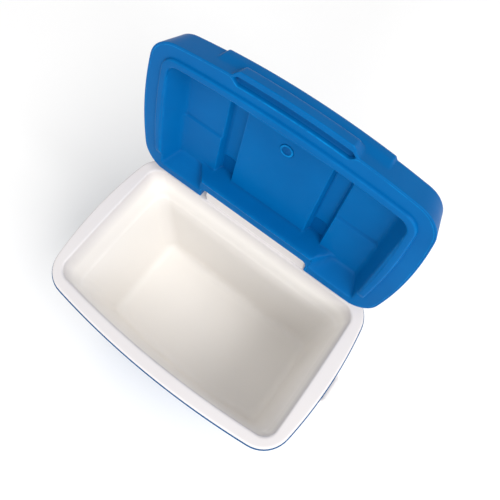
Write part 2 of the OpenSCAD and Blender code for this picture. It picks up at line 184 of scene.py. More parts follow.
class Mesh:
    """Collects vertices in millimetres and faces, then makes one Blender object."""

    def __init__(self):
        self.v, self.f = [], []
        self.n = 0

    def add(self, verts, faces):
        verts = np.asarray(verts, float)
        self.v.append(verts)
        self.f += [[i + self.n for i in face] for face in faces]
        self.n += len(verts)

    def loft(self, rings, cap=(True, True), closed=True):
        """Skins a row of rings that all have the same number of points."""
        n = len(rings[0])
        faces = []
        for k in range(len(rings) - 1):
            for j in range(n if closed else n - 1):
                a, b = k * n + j, k * n + (j + 1) % n
                faces.append([a, b, b + n, a + n])
        if cap[0]:
            faces.append(list(range(n))[::-1])
        if cap[1]:
            faces.append(list(range((len(rings) - 1) * n, len(rings) * n)))
        self.add(np.vstack(rings), faces)

    def make(self, name, body, material, replaces, lid=False, sharp=38):
        v = np.vstack(self.v)
        if lid:
            v = turn_open(v)
        mesh = bpy.data.meshes.new(name)
        mesh.from_pydata((v * MM).tolist(), [], self.f)
        bm = bmesh.new()
        bm.from_mesh(mesh)
        bmesh.ops.remove_doubles(bm, verts=bm.verts, dist=MERGE * MM)
        bmesh.ops.dissolve_degenerate(bm, dist=MERGE * MM / 20, edges=bm.edges)
        bmesh.ops.recalc_face_normals(bm, faces=bm.faces)
        for face in bm.faces:
            face.smooth = True
        for edge in bm.edges:
            edge.smooth = len(edge.link_faces) == 2 and edge.calc_face_angle(0) < math.radians(sharp)
        bm.to_mesh(mesh)
        bm.free()
        mesh.validate()
        obj = bpy.data.objects.new(name, mesh)
        bpy.context.scene.collection.objects.link(obj)
        obj.data.materials.append(material)
        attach(obj, body)
        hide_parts(*replaces)
        return obj


def weighted(obj):
    """Evens out the shading next to rounded edges."""
    m = obj.modifiers.new("even_normals", "WEIGHTED_NORMAL")
    m.keep_sharp = True
    m.weight = 60


def bevelled(obj, width, segments, angle):
    m = obj.modifiers.new("edges", "BEVEL")
    m.width = width * MM
    m.segments = segments
    m.limit_method = "ANGLE"
    m.angle_limit = math.radians(angle)
    weighted(obj)


def grid_faces(nx, ny):
    corners = [i * ny + j for i in range(nx - 1) for j in range(ny - 1)]
    return [[a, a + ny, a + ny + 1, a + 1] for a in corners]


def grid_edge(nx, ny):
    """Indices round the border of a grid, anticlockwise."""
    low = [i * ny for i in range(nx)]
    right = [(nx - 1) * ny + j for j in range(1, ny)]
    high = [i * ny + ny - 1 for i in range(nx - 2, -1, -1)]
    left = [j for j in range(ny - 2, 0, -1)]
    return low + right + high + left


def fill_between(outer, inner):
    """Flat faces between two closed loops; returns points and triangles."""
    pts = [Vector(p) for p in outer] + [Vector(p) for p in inner]
    n, m = len(outer), len(inner)
    edges = [(i, (i + 1) % n) for i in range(n)] + [(n + i, n + (i + 1) % m) for i in range(m)]
    v, _, f, *_ = delaunay_2d_cdt(pts, edges, [], 1, 1e-5)
    v = np.array([list(p) for p in v])
    keep = []
    for face in f:
        middle = v[list(face)].mean(axis=0)
        if inside(middle, outer) and not inside(middle, inner):
            keep.append(list(face))
    return v, keep


def inside(p, loop):
    """Whether a point lies within a closed loop."""
    x, y = loop[:, 0], loop[:, 1]
    xn, yn = np.roll(x, -1), np.roll(y, -1)
    cross = (y > p[1]) != (yn > p[1])
    with np.errstate(divide="ignore", invalid="ignore"):
        hit = p[0] < (xn - x) * (p[1] - y) / (yn - y) + x
    return bool(np.count_nonzero(cross & hit) % 2)


def round_box_distance(x, y, x0, x1, y0, y1, r):
    """How far points lie outside a rectangle with rounded corners; less than zero within it."""
    qx = np.abs(x - (x0 + x1) / 2) - (x1 - x0) / 2 + r
    qy = np.abs(y - (y0 + y1) / 2) - (y1 - y0) / 2 + r
    return np.hypot(np.maximum(qx, 0), np.maximum(qy, 0)) + np.minimum(np.maximum(qx, qy), 0) - r


# Grid lines closer together than this become one
LINE_GAP = 0.35


def lines(*spans):
    """Grid lines from (from, to, step) spans, sorted and with near repeats dropped."""
    return spaced(np.concatenate([np.arange(a, b + step * 0.5, step) for a, b, step in spans]))


def both_ways(xs):
    """Grid lines of one side, repeated on the other."""
    return spaced(np.r_[xs, -xs])


def spaced(values):
    values = np.sort(values)
    keep = [values[0]]
    for x in values[1:]:
        if x - keep[-1] > LINE_GAP:
            keep.append(x)
    return np.array(keep)


# ---------------------------------------------------------------- materials
class Nodes:
    """A material and the few kinds of shader node that the finishes below are made of."""

    def __init__(self, name):
        self.mat = bpy.data.materials.new(name)
        self.mat.use_nodes = True
        self.t = self.mat.node_tree
        self.out = self.t.nodes["Principled BSDF"]
        self.coord = self.add("ShaderNodeTexCoord").outputs["Object"]

    def add(self, kind, **values):
        node = self.t.nodes.new(kind)
        for k, v in values.items():
            setattr(node, k, v)
        return node

    def link(self, a, b):
        self.t.links.new(a, b)

    def noise(self, scale, detail=3.0, rough=0.5, stretch=None):
        node = self.add("ShaderNodeTexNoise")
        node.inputs["Scale"].default_value = scale
        node.inputs["Detail"].default_value = detail
        node.inputs["Roughness"].default_value = rough
        if stretch:
            m = self.add("ShaderNodeMapping")
            m.inputs["Scale"].default_value = stretch
            self.link(self.coord, m.inputs["Vector"])
            self.link(m.outputs["Vector"], node.inputs["Vector"])
        else:
            self.link(self.coord, node.inputs["Vector"])
        return node.outputs["Fac"]

    def spread(self, value, lo, hi, out_lo, out_hi):
        """Maps the range lo to hi of a value onto another range, and holds it at the ends."""
        node = self.add("ShaderNodeMapRange")
        for k, v in zip(("From Min", "From Max", "To Min", "To Max"), (lo, hi, out_lo, out_hi)):
            node.inputs[k].default_value = v
        self.link(value, node.inputs["Value"])
        return node.outputs["Result"]

    def mix(self, fac, a, b):
        node = self.add("ShaderNodeMix", data_type="RGBA")
        self.link(fac, node.inputs["Factor"])
        for value, socket in ((a, node.inputs["A"]), (b, node.inputs["B"])):
            if isinstance(value, tuple):
                socket.default_value = (*value, 1)
            else:
                self.link(value, socket)
        return node.outputs["Result"]

    def math(self, op, a, b):
        node = self.add("ShaderNodeMath", operation=op)
        for value, socket in ((a, node.inputs[0]), (b, node.inputs[1])):
            if isinstance(value, (int, float)):
                socket.default_value = value
            else:
                self.link(value, socket)
        return node.outputs["Value"]

    def bump(self, height, strength, distance, normal=None):
        node = self.add("ShaderNodeBump")
        node.inputs["Strength"].default_value = strength
        node.inputs["Distance"].default_value = distance
        self.link(height, node.inputs["Height"])
        if normal:
            self.link(normal, node.inputs["Normal"])
        return node.outputs["Normal"]


# Heights in metres between which the painted light that makes the deep tub paler fades out
PAINTED_LIGHT_FADE = (0.30, 0.348)
# Pointiness is about 0.5 on flat faces, lower in inner corners and higher on outer edges
# Over this range painted shade fills the inner corners
CORNER_SHADE_BEND = (0.38, 0.485)
# Over this range edges turn paler, partly wear and partly painted highlight
EDGE_BEND = (0.525, 0.60)
# Depths in metres of the fine grain and of the slow unevenness of moulded plastic
GRAIN_DEPTH, WAVE_DEPTH = 0.00006, 0.0006
PLASTIC_IOR = 1.49


def moulded(name, dark, base, wear_and_highlight, rough, specular, scuff=0.5, low_painted_light=None, corner_shade=None):
    """Moulded plastic: slow colour drift, fine grain, faint scuffs and paler, rougher edges; the paler edges
    are partly wear and partly painted highlight.

    The colour for what lies low in the tub is painted light that makes it paler, and the colour for the inner
    corners is painted shade.
    """
    n = Nodes(name)
    drift = n.noise(7, 4, 0.55)
    colour = n.mix(n.spread(drift, 0.3, 0.7, 0, 1), dark, base)
    if low_painted_light:
        # painted light: below the rim the tub is painted paler, standing in for light that the deep tub lacks
        height = n.add("ShaderNodeSeparateXYZ")
        n.link(n.coord, height.inputs["Vector"])
        colour = n.mix(n.spread(height.outputs["Z"], *PAINTED_LIGHT_FADE, 1, 0), colour, low_painted_light)
    bend = n.add("ShaderNodeNewGeometry").outputs["Pointiness"]
    if corner_shade:
        # painted shade: the inner corners are darkened
        colour = n.mix(n.spread(bend, *CORNER_SHADE_BEND, 1, 0), colour, corner_shade)
    # paler edges: partly wear, partly painted highlight
    edge = n.spread(bend, *EDGE_BEND, 0, 0.8)
    patchy = n.spread(n.noise(60, 5, 0.7), 0.4, 0.65, 0.2, 1)
    edge_wear_and_highlight = n.math("MULTIPLY", edge, patchy)
    marks = n.noise(55, 6, 0.75, stretch=(0.35, 2.2, 1.2))
    marks = n.spread(marks, 0.62, 0.74, 0, 0.14 * scuff)
    both = n.math("ADD", edge_wear_and_highlight, marks)
    n.link(n.mix(both, colour, wear_and_highlight), n.out.inputs["Base Color"])
    uneven = n.spread(n.noise(22, 4, 0.6), 0.3, 0.7, rough - 0.05, rough + 0.06)
    n.link(n.math("ADD", uneven, n.math("MULTIPLY", both, 0.25)), n.out.inputs["Roughness"])
    normal = n.bump(n.noise(900, 2, 0.5), 0.35, GRAIN_DEPTH)
    normal = n.bump(n.noise(38, 2, 0.4), 0.12, WAVE_DEPTH, normal)
    n.link(normal, n.out.inputs["Normal"])
    n.out.inputs["IOR"].default_value = PLASTIC_IOR
    n.out.inputs["Specular IOR Level"].default_value = specular
    return n.mat


def steel(name, base, rough, along):
    """Bare steel with fine streaks; along sets how the streaks are stretched."""
    n = Nodes(name)
    streak = n.noise(500, 3, 0.6, stretch=along)
    n.link(n.mix(streak, tuple(c * 0.7 for c in base), base), n.out.inputs["Base Color"])
    n.link(n.spread(streak, 0.3, 0.7, rough - 0.08, rough + 0.12), n.out.inputs["Roughness"])
    n.link(n.bump(streak, 0.3, 0.00004), n.out.inputs["Normal"])
    n.out.inputs["Metallic"].default_value = 1.0
    return n.mat


def foam(name):
    """Rigid foam with an open, pitted grain."""
    n = Nodes(name)
    cell = n.add("ShaderNodeTexVoronoi")
    cell.inputs["Scale"].default_value = 700
    n.link(n.coord, cell.inputs["Vector"])
    n.link(n.mix(cell.outputs["Distance"], (0.62, 0.55, 0.36), (0.84, 0.79, 0.6)), n.out.inputs["Base Color"])
    n.link(n.spread(n.noise(40), 0.3, 0.7, 0.85, 0.98), n.out.inputs["Roughness"])
    n.link(n.bump(cell.outputs["Distance"], 0.6, 0.0006), n.out.inputs["Normal"])
    return n.mat


LID_BLUE = moulded(
    "lid_blue",
    dark=(0.0, 0.096, 0.305),
    base=(0.0, 0.117, 0.357),
    # paler edges, partly wear and partly painted highlight
    wear_and_highlight=(0.0, 0.27, 0.68),
    rough=0.36,
    specular=0.05,
    # painted shade for the inner corners
    corner_shade=(0.0, 0.022, 0.12),
)
SHELL_BLUE = moulded(
    "shell_blue",
    dark=(0.0, 0.062, 0.180),
    base=(0.0, 0.074, 0.210),
    wear_and_highlight=(0.0, 0.14, 0.36),
    rough=0.40,
    specular=0.06,
)
LINER_WHITE = moulded(
    "liner_white",
    dark=(0.68, 0.648, 0.648),
    base=(0.70, 0.672, 0.67),
    wear_and_highlight=(0.78, 0.755, 0.75),
    rough=0.38,
    specular=0.25,
    scuff=0.3,
    # painted light: the tub below the rim is painted paler than the rim
    low_painted_light=(0.94, 0.914, 0.88),
)
RIM_WHITE = moulded(
    "rim_white",
    dark=(0.71, 0.68, 0.68),
    base=(0.73, 0.705, 0.70),
    wear_and_highlight=(0.78, 0.76, 0.755),
    rough=0.40,
    specular=0.25,
    scuff=0.3,
)
PIN_STEEL = steel("pin_steel", (0.62, 0.62, 0.63), 0.3, (0.1, 6, 6))
SCREW_STEEL = steel("screw_steel", (0.55, 0.56, 0.58), 0.36, (4, 4, 0.2))
FOAM = foam("foam")


# ---------------------------------------------------------------- tub
# The outline of the rim: half length, distance of front and back, bows of front and ends, corner radius
TUB_HALF, TUB_SIDE, TUB_BOW, TUB_END_BOW, TUB_CORNER = 240.0, 150.0, 17.5, 15.7, 50.0
MOUTH_HALF, MOUTH_FRONT, MOUTH_BACK = 213.5, 129.0, 125.0
MOUTH_BOW, MOUTH_END_BOW, MOUTH_CORNER = 13.5, 2.0, 24.0
HANDLE_Y = 10.0
WELL_HALF, WELL_LOW, WELL_HIGH, WELL_FLOOR = 60.0, 270.0, 338.0, 226.0
# How far the edges of a well are rounded
WELL_ROUND = 3.2
TUB_LEAN, TUB_PROUD, SKIN = 24.0, 2.0, 3.0
# Where the points of the tub's outlines lie along its ends, close together at the edges of the wells
TUB_YS = lines((-80, -60, 5), (-55.5, -44.7, 1.2), (-40, 60, 8), (64.7, 75.5, 1.2), (80, 96, 5))
MOUTH_YS = np.interp(TUB_YS, (TUB_YS[0], TUB_YS[-1]), (-46, 52))
# Rows of the tub's outer wall, close together at the edges of the wells
WALL_ZS = lines((12, 252, 10), (258, 264, 3), (266, 275.6, 1.2), (280, 328, 8), (333.2, 341, 1.2))[::-1]
# Profiles below are rows of how far in from an outline, and how high
SHELL_EDGE = [(3.0, 336.0), (2.0, 342.4), (1.4, SHELL_Z), (-0.9, SHELL_Z), (-1.5, 342.75), (-1.88, 342.1)]
SHELL_BACK_TOP, SHELL_BACK_FOOT = (3.4, 336.0), (TUB_LEAN + 4, 6.0)
FOOT_R, FOOT_RISE = 9.0, 3.0
FOOT_RING = [(46.0, 0.0), (47.2, 0.3), (47.8, 1.2), (48.2, 2.4), (49.2, FOOT_RISE)]
# The bar across the middle of the underside
BAR_L, BAR_W = 110.0, 12.0
BAR_EDGE = [(0.0, 3.4), (0.2, 0.8), (0.6, 0.2), (1.4, 0.0)]
RIM_FOOT = [(2.5, SHELL_Z), (0.7, SHELL_Z), (0.15, 343.3), (0.0, 343.9), (0.0, 346.2)]
# Radii of the rim's outer edge and of the mouth's edge
RIM_R, MOUTH_R = 3.6, 3.4
# The wall of the liner, its soft step, the wall below and its round foot
LINER_WALL = [(0.5, 336.0), (1.4, 318.0), (2.6, 292.0), (3.5, 272.0), (4.0, 264.0), (4.4, 260.0)]
LINER_WALL += [(4.9, 257.0), (5.5, 254.5), (6.0, 252.0), (6.4, 249.5), (6.7, 247.0), (7.1, 242.0)]
LINER_WALL += [(8.5, 226.0), (11.4, 184.0), (14.9, 134.0), (18.0, 88.0), (20.1, 58.0), (20.9, 48.0)]
LINER_WALL += [(21.9, 41.5), (23.6, 36.2), (26.2, 31.8), (29.6, 28.5), (33.6, 26.3), (38.0, 25.25)]
LINER_WALL += [(43.0, 25.0)]
# The outer side of the liner, out of sight in the foam
LINER_BACK = [(40.0, 22.0), (30.0, 24.4), (22.0, 34.0), (18.0, 48.0), (4.0, 250.0), (0.0, 254.0)]


def tub_line(inset):
    half, side, corner = TUB_HALF - inset, TUB_SIDE - inset, TUB_CORNER - inset
    return outline(half, side, side, TUB_BOW, TUB_END_BOW, corner, TUB_XS, TUB_YS)


def mouth_line(inset):
    half, front, back = MOUTH_HALF - inset, MOUTH_FRONT - inset, MOUTH_BACK - inset
    return outline(half, front, back, MOUTH_BOW, MOUTH_END_BOW, MOUTH_CORNER, TUB_XS, MOUTH_YS)


def tub_row(z, inset, grow):
    """One ring of the leaning wall, with the wells that the handles hang in pressed into its two ends."""
    ring = tub_line(TUB_LEAN * (1 - z / SHELL_Z) - TUB_PROUD + inset)
    x, y = ring.T
    share = smooth((WELL_HALF + grow - np.abs(y - HANDLE_Y)) / WELL_ROUND + 0.5)
    share = share * smooth((z - WELL_LOW + grow) / WELL_ROUND + 0.5)
    share = share * smooth((WELL_HIGH + grow - z) / WELL_ROUND + 0.5)
    pressed = np.minimum(np.abs(x), WELL_FLOOR - grow) * np.sign(x)
    return at(np.c_[x + share * (pressed - x), y], z)


def make_tub_shell():
    m = Mesh()
    rings = [at(tub_line(t), z) for t, z in SHELL_EDGE]
    rings += [tub_row(z, 0, 0) for z in WALL_ZS]
    for a in angles(0, 90, 7):
        inset = TUB_LEAN - TUB_PROUD + FOOT_R * (1 - math.cos(a))
        rings.append(at(tub_line(inset), FOOT_R * (1 - math.sin(a))))
    rings += [at(tub_line(t), z) for t, z in FOOT_RING]
    # an outline can't go further in than its corner radius, so the last one is shrunk
    rings.append(at(tub_line(TUB_CORNER - 0.5) * 0.96, FOOT_RISE))
    hidden = [at(tub_line(SHELL_BACK_TOP[0]), SHELL_BACK_TOP[1])]
    hidden += [tub_row(z, SKIN, SKIN) for z in WALL_ZS]
    hidden.append(at(tub_line(SHELL_BACK_FOOT[0]), SHELL_BACK_FOOT[1]))
    m.loft(hidden[::-1] + rings)
    loops = []
    for t, z in BAR_EDGE:
        x, y = BAR_L - t, BAR_W - t
        loops.append(at(np.array([(-x, -y), (x, -y), (x, y), (-x, y)]), z))
    m.loft(loops)
    obj = m.make("tub_shell", "tub", SHELL_BLUE, replaces=["outer_shell"])
    weighted(obj)


def make_liner():
    m = Mesh()
    rings = [at(mouth_line(t), z) for t, z in LINER_BACK]
    rings += [at(mouth_line(-3.0), 340.0), at(mouth_line(-4.5), SHELL_Z)]
    rings += [at(tub_line(t), z) for t, z in RIM_FOOT]
    for a in angles(15, 90, 6):
        rings.append(at(tub_line(RIM_R * (1 - math.cos(a))), RIM_Z - RIM_R * (1 - math.sin(a))))
    rings += [at(tub_line(6.0), RIM_Z), at(mouth_line(-6.0), RIM_Z)]
    for a in angles(0, 90, 6):
        rings.append(at(mouth_line(-MOUTH_R * (1 - math.sin(a))), RIM_Z - MOUTH_R * (1 - math.cos(a))))
    rings += [at(mouth_line(t), z) for t, z in LINER_WALL]
    m.loft(rings)
    obj = m.make("tub_liner", "tub", LINER_WHITE, replaces=["inner_liner"], sharp=60)
    weighted(obj)


def prism_x(m, profile, x0, x1):
    """A bar along X; its profile is a loop of (y, z)."""
    p = np.array(profile, float)
    m.loft([np.c_[np.full(len(p), x), p] for x in (x0, x1)])


RAIL_HALF, BARREL_R = 101.0, 12.0
# The profile of the rail, (y, z): its round foot on the rim, its front, and the leaf behind the tub
RAIL_FOOT = [(150.3, SHELL_Z), (150.3, RIM_Z), (128.7, RIM_Z), (129.35, 350.15), (129.8, 350.6)]
RAIL_FRONT = [(130.0, 351.4), (130.0, 368.0)]
RAIL_LEAF = [(155.4, SHELL_Z), (151.84, 295.0), (148.86, 295.0), (152.22, SHELL_Z)]
# Three ribs that the open lid rests on: left edges, width, thickness, and reach from the hinge line
STOP_XS, STOP_W, STOP_T = (-75, -5, 65), 10, 7
STOP_LOW, STOP_TIP = 8, 17.2


def make_hinge_rail():
    m = Mesh()
    barrel = arc((HINGE_Y, HINGE_Z), BARREL_R, math.radians(174), 0, 24)
    prism_x(m, np.vstack([RAIL_FOOT, RAIL_FRONT, barrel, RAIL_LEAF]), -RAIL_HALF, RAIL_HALF)
    # the ribs point along the open lid
    lean = math.radians(OPEN_DEG - 90)
    up = np.array([math.sin(lean), math.cos(lean)])
    away = np.array([up[1], -up[0]])
    low, tip = (np.array([HINGE_Y, HINGE_Z]) + up * a for a in (STOP_LOW, STOP_TIP))
    for x in STOP_XS:
        prism_x(m, [low, tip, tip + away * STOP_T, low + away * STOP_T], x, x + STOP_W)
    obj = m.make("hinge_rail_body", "tub", RIM_WHITE, replaces=["hinge_rail"])
    bevelled(obj, width=1.1, segments=3, angle=40)


make_tub_shell()
make_liner()
make_hinge_rail()


# ---------------------------------------------------------------- lid
LID_HALF, LID_FRONT, LID_BACK = 235.0, 138.5, 149.5
LID_BOW, LID_END_BOW, LID_CORNER = 19.0, 14.9, 49.0
LIP_HALF, LIP_PROUD, LIP_RUN = 98.0, 12.0, 15.0
# From LIP_FULL above the edge of the lid the lip falls back over LIP_FALL, and the brow rises over BROW_RISE
LIP_FULL, LIP_FALL, BROW_RISE = 16.0, 17.0, 22.0
BROW_HALF, BROW_PROUD, BROW_RUN = 134.0, 4.5, 5.0
NOTCH_HALF, NOTCH_Y = 105.0, 126.0
NOTCH_OUTER_R, NOTCH_INNER_R = 5.0, 9.0
POCKET_HALF, POCKET_ROUND = 91.0, 2.4
LID_FRONT_XS = lines((0, 78, 6), (82, 102, 1.6), (106, 122, 4), (126, 138, 1.5), (144, 174, 6))
LID_ROWS = (4, 8, 12, 16, 18.5, 21, 24, 27, 29, 31, 33, 35, 38, 41)
# The walls lean in by WALL_LEAN over WALL_H, and their lower edge is rounded
WALL_LEAN, WALL_H = 8.0, 41.0
EDGE_R = 1.5
# The round top edge: how far the walls lean in, how far the whole edge goes in, and the height
TOP_EDGE = [(8.3, 0.0, 43.2), (8.7, 0.05, 45.2), (9.4, 0.4, 47.2)]
TOP_EDGE += [(10.2, 1.1, 48.6), (11.3, 2.2, 49.55), (12.8, 3.4, LID_H)]
# The underside from the edge to the flange: how far in at the lip, how far in elsewhere, and the depth
POCKET_ROWS = [(1.5, 1.5, 0), (7.5, 1.7, 0), (9.4, 1.85, 0.35), (10.3, 2.0, 1.6), (10.8, 2.1, 5.2)]
POCKET_ROWS += [(12.2, 2.2, 6.8), (20.5, 2.4, 6.8), (22.9, 2.5, 5.2), (23.6, 2.6, 1.4), (24.2, 2.75, 0.35)]
POCKET_ROWS += [(25.0, 2.9, 0)]
# The trays in the top: left, right, front and back of the middle one and of the right one
MIDDLE_TRAY, SIDE_TRAY = (-68, 68, -100, 105), (107, 197, -84, 112)
TRAY_D, TRAY_R = 5.0, 14.0
# The lugs that turn on the hinge pins: how far out, and the radius
LUG_PROFILE = [(105.0, 6.0), (105.0, 8.2), (105.8, 9.0), (117.2, 9.0), (118.0, 8.2), (118.0, 4.0)]


def lid_line(lean, edge):
    """Lid outline; lean moves only the outer walls in, edge moves the notch's walls too."""
    t = lean + edge
    notch = (NOTCH_HALF + edge, NOTCH_Y - edge, max(NOTCH_OUTER_R - edge, 0.8), NOTCH_INNER_R + edge)
    sizes = (LID_HALF - t, LID_FRONT - t, LID_BACK - t, LID_BOW, LID_END_BOW, LID_CORNER - t)
    return outline(*sizes, front_xs=LID_FRONT_XS, notch=notch)


def lip_share(x):
    """1 over the middle of the lip, and down to 0 at its ends."""
    return smooth((LIP_HALF - np.abs(x)) / LIP_RUN)


def bulge(points, h):
    """Pushes the thumb lip and the brow out of the front wall."""
    p = points.copy()
    x, y = p.T
    lip = lip_share(x) * LIP_PROUD * (1 - smooth((h - LIP_FULL) / LIP_FALL))
    brow = smooth((BROW_HALF - np.abs(x)) / BROW_RUN) * BROW_PROUD * smooth((h - LIP_FULL) / BROW_RISE)
    p[:, 1] -= np.where(y < FRONT_Y, np.maximum(lip, brow), 0)
    return p


def wall_row(h, edge):
    """One ring of the lid's outer wall, at a height above its edge."""
    return at(bulge(lid_line(WALL_LEAN * h / WALL_H, edge), h), LID_Z + h)


# The lower back corner of the lid slants: its y is no more than its height plus this
TRIM = -204.2


def trim_back(ring):
    """Cuts the lower back corner away so that the lid clears the rim as it turns."""
    ring = ring.copy()
    ring[:, 1] = np.minimum(ring[:, 1], ring[:, 2] + TRIM)
    return ring


def pocket_row(reach, base, depth):
    """One ring of the underside between the lid's edge and the flange, with the finger pocket let into it."""
    p = lid_line(0, base)
    x, y = p.T
    share = np.where(y < FRONT_Y, lip_share(x), 0)
    y_new = y + share * (reach - base - LIP_PROUD)
    # the front edge of the pocket is shorter than its back edge
    half = POCKET_HALF - (3.0 if reach < LIP_PROUD else 0.0)
    hole = np.where(y_new < FRONT_Y, smooth((half - np.abs(x)) / POCKET_ROUND + 0.5), 0)
    return at(np.c_[x, y_new], LID_Z + depth * hole)


def tray_depth(x, y):
    """Depth of the three shallow trays in the top of the lid."""
    d = round_box_distance(x, y, *MIDDLE_TRAY, TRAY_R)
    d = np.minimum(d, round_box_distance(np.abs(x), y, *SIDE_TRAY, TRAY_R))
    return TRAY_D * smooth(-d / TRAY_D)


def make_lid_shell():
    m = Mesh()
    inner = pocket_row(*POCKET_ROWS[-1])[:, :2]
    # the first two rings are out of sight, behind the flange of the inner panel
    rings = [at(lid_line(13.0, 4.0), LID_TOP - 8), at(inner, LID_Z + 12)]
    rings += [pocket_row(*row) for row in POCKET_ROWS[::-1]]
    rings += [wall_row(EDGE_R * (1 - math.sin(a)), EDGE_R * (1 - math.cos(a))) for a in angles(75, 0, 5)]
    rings += [wall_row(h, 0) for h in LID_ROWS]
    rings += [at(bulge(lid_line(lean, edge), h), LID_Z + h) for lean, edge, h in TOP_EDGE]
    rings = [trim_back(r) for r in rings]
    m.loft(rings, cap=(True, False))
    deck = rings[-1]
    xs = lines((0, 50, 10), (56, 70, 1.4), (76, 100, 6), (105, 118, 1.4), (124, 180, 8), (185, 199, 1.4))
    xs = both_ways(xs)
    ys = lines((-102, -88, 1.4), (-86, -72, 1.4), (-64, 88, 9), (92, 114, 1.4))
    X, Y = np.meshgrid(xs, ys, indexing="ij")
    Z = LID_TOP - tray_depth(X, Y)
    grid = np.c_[X.ravel(), Y.ravel(), Z.ravel()]
    m.add(grid, grid_faces(len(xs), len(ys)))
    border = grid[grid_edge(len(xs), len(ys))][:, :2]
    v, f = fill_between(deck[:, :2], border)
    m.add(at(v, LID_TOP), f)
    for side in (-1, 1):
        rings = []
        for x, r in LUG_PROFILE[::side]:
            c = circle((HINGE_Y, HINGE_Z), r, 40)
            rings.append(np.c_[np.full(len(c), side * x), c])
        m.loft(rings)
    obj = m.make("lid_shell", "lid", LID_BLUE, replaces=["lid_outer_shell"], lid=True, sharp=42)
    weighted(obj)


# The edge of the panel, and a line on its flange, as rows of the underside
PANEL_EDGE, PANEL_LEDGE = (25.12, 3.02, 0), (26.7, 4.6, 0)
PANEL_D, PANEL_WALL = 29.0, 2.2
# In front of STEP_Y the side panels are deeper by STEP_D, over a slope just as wide
STEP_Y, STEP_D = 21.5, 3.0
# The right channel and the pocket in its back end: left, right, front and back
CHANNEL, POCKET = (71.0, 104.0, -130, 112), (75.0, 100.0, 63, 103)
CHANNEL_D, CHANNEL_R, POCKET_D = 41.0, 7, 3.0
FLANGE_SINK = 3.6
# The notch cuts the hollow off behind CUT_Y, over CUT_HALF to each side
CUT_Y, CUT_HALF = 112, 109.5
# The ring of the round plug in the centre panel
MARK_Y, MARK_R, MARK_H, MARK_W = -39.5, 10.5, 1.5, 0.95
PANEL_XS = [(-200, -192, 2), (-190, -172, 2), (-168, -112, 8), (-110, -101, 1.3), (-98, -76, 3.5)]
PANEL_XS += [(-75, -69, 1.3), (-64, -16, 8), (-13, 13, 1)]
PANEL_YS = [(-104, -86, 1.5), (-80, -56, 6), (-52.5, -26.5, 1), (-22, 14, 6), (18, 25, 1.3)]
PANEL_YS += [(30, 54, 6), (56, 64, 1.6), (68, 92, 6), (95, CUT_Y, 1.4), (114, 134, 2.2)]
BEAD_H = 4.5
# The bead round the hollow: share of the way from its inner to its outer edge, and height
BEAD_PROFILE = [(0.0, 0.6), (0.01, -1.6), (0.05, -3.3), (0.14, -4.25), (0.28, -BEAD_H)]
BEAD_PROFILE += [(0.72, -BEAD_H), (0.86, -4.2), (0.95, -3.2), (1.0, -1.2), (1.03, 0.5)]
# Over BEAD_FADE in front of its ends the bead sinks into the flange
BEAD_END, BEAD_FADE = 112, 16
# From FLAT_FROM within the middle of the bead the hollow runs out over FLAT_RUN, and outside it is flat
FLAT_FROM, FLAT_RUN = 3.5, 4.5
# Half length, front, back, front bow, side bow and corner radius of the bead's two edges
BEAD_OUT = (209.5, 112.5, 130, 12, 8, 28)
BEAD_IN = (196.8, 99.2, 130, 11, 6, 20)
# Where the arc of a bead's leg ends and runs on straight
LEG_Y = 84


def panel_depth(x, y):
    """Depth of the lid's underside above its lower plane.

    Each term is a slope such as (place - x) * steepness; the shallowest of them wins, with rounded meetings.
    """
    ax = np.abs(x)
    step = smooth((STEP_Y - y) / STEP_D) * STEP_D - 1.0
    side_panel = smooth((ax - 102.5) / 2.0)
    level = PANEL_D + side_panel * step
    channel = -round_box_distance(ax, y, *CHANNEL, CHANNEL_R)
    deeper = soft_min(np.maximum(channel * 3.4, 0), CHANNEL_D - PANEL_D, 3.0)
    level = level + deeper * (channel > -1)
    pocket = -round_box_distance(ax, y, *POCKET, CHANNEL_R)
    level = level + POCKET_D * smooth(pocket / POCKET_D)
    side = (195.8 - ax) * 1.73 - 6.0
    front = (y + 98.0) * 6.5 - 4.5
    notch_wall = (106.2 - y) * 5.0
    lobe = soft_min((131.5 - y) * 1.20, (ax - 108.0) * 1.3, 9.0)
    back = soft_max(notch_wall, lobe, 6.0)
    d = soft_min(level, back, 6.0)
    d = soft_min(d, side, 7.0)
    d = soft_min(d, front, 5.0)
    d = np.maximum(d, FLANGE_SINK * (smooth((y - 100) / 12) - 1))
    d = d * (1 - smooth((bead_distance(x, y) + FLAT_FROM) / FLAT_RUN))
    ring = np.hypot(x, y - MARK_Y) - MARK_R
    return d + MARK_H * np.exp(-((ring / MARK_W) ** 2))


def u_path(half, front, back, front_bow, side_bow, r, end):
    """Left leg, front and right leg of an outline, with the legs run out to y = end."""
    front_xs, side_ys = lines((0, 150, 10)), lines((-60, LEG_Y, 12))
    p = outline(half, front, back, front_bow, side_bow, r, front_xs, side_ys)
    right = p[: len(p) // 2 + 1]
    right = right[(right[:, 0] > 0) | (right[:, 1] < 0)]
    right = right[right[:, 1] <= LEG_Y + 0.01]
    way = right[-1] - right[-2]
    steps = np.linspace(0, 1, 8)[1:, None]
    right = np.vstack([right, right[-1] + way * (end - right[-1][1]) / way[1] * steps])
    left = right[::-1] * [-1, 1]
    return np.vstack([left, right[1:]])


def bead_distance(x, y):
    """How far points lie outside the middle of the bead that runs round the hollow."""
    line = (u_path(*BEAD_OUT, end=150) + u_path(*BEAD_IN, end=150)) / 2
    a, b = line, np.roll(line, -1, axis=0)
    best = np.full(x.shape, 1e9)
    odd = np.zeros(x.shape, bool)
    for (ax, ay), (bx, by) in zip(a, b):
        dx, dy = bx - ax, by - ay
        t = np.clip(((x - ax) * dx + (y - ay) * dy) / (dx * dx + dy * dy), 0, 1)
        best = np.minimum(best, np.hypot(x - ax - t * dx, y - ay - t * dy))
        if by != ay:
            odd ^= ((ay > y) != (by > y)) & (x < dx * (y - ay) / dy + ax)
    return np.where(odd, -best, best)


